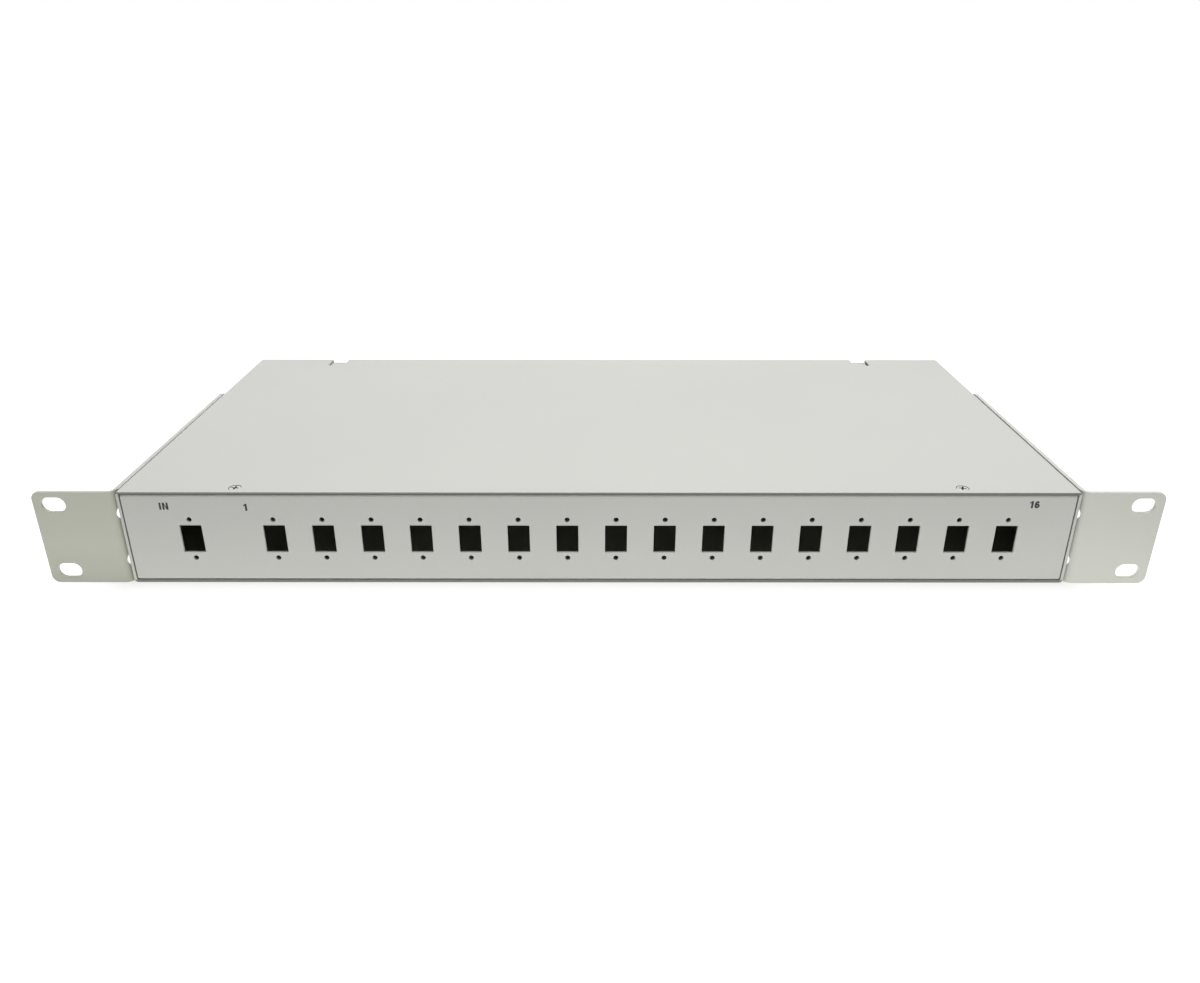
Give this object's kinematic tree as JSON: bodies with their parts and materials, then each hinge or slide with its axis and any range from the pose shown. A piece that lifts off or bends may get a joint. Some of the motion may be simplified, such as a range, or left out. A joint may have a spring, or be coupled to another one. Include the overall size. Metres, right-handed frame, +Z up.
{
  "type": "rack-mount fibre splitter chassis",
  "caption": "Low, wide sheet-metal rack chassis for an optical fibre splitter, with a row of rectangular adapter cut-outs, a screwed-on cover and slotted rack ears.",
  "frame": {"origin": "middle of the footprint box, on the plane that the chassis stands on", "axes": "+X to the right along the width as seen from the front, -Y out of the front panel, +Z up"},
  "size_m": [0.4826, 0.204, 0.044],
  "materials": {
    "powder_coat": "satin light grey powder coat on steel sheet",
    "zinc": "bright zinc plate",
    "rivet": "plain aluminium",
    "stainless": "brushed stainless steel",
    "brass": "plain brass",
    "rubber": "black rubber",
    "module_plastic": "black moulded plastic",
    "tray_plastic": "black moulded plastic",
    "clear_plastic": "clear sheet",
    "nylon": "natural nylon",
    "silica": "polished silica"
  },
  "bodies": {
    "chassis": {"base_tray": "powder_coat", "front_panel": "powder_coat", "ear_right": "powder_coat", "ear_left": "powder_coat", "cover_nuts": "zinc", "rear_screws": "zinc", "rear_nuts": "zinc", "ear_screws_right": "zinc", "ear_screws_left": "zinc", "side_nuts_right": "zinc", "side_nuts_left": "zinc", "panel_rivets": "rivet", "corner_rivets": "rivet", "cable_grommet_right": "rubber", "cable_grommet_left": "rubber", "earth_stud": "zinc", "earth_washer": "zinc", "earth_nut": "brass", "splitter_case": "module_plastic", "splitter_lid": "module_plastic", "chip_tube": "stainless", "waveguide_chip": "silica", "input_array": "silica", "output_array": "silica", "fibre_comb": "module_plastic", "input_boot": "rubber", "module_studs": "zinc", "module_nuts": "zinc", "splice_tray": "tray_plastic", "splice_tray_lid": "clear_plastic", "splice_comb": "tray_plastic", "tray_studs": "zinc", "tray_nuts": "zinc", "fibre_clips": "nylon"},
    "cover": {"top_cover": "powder_coat", "cover_screws": "zinc"}
  },
  "joints": [
    {"name": "cover_lift", "type": "slide", "parent": "chassis", "child": "cover", "axis": [0, 0, 1], "range_m": [0, 0.06]}
  ]
}
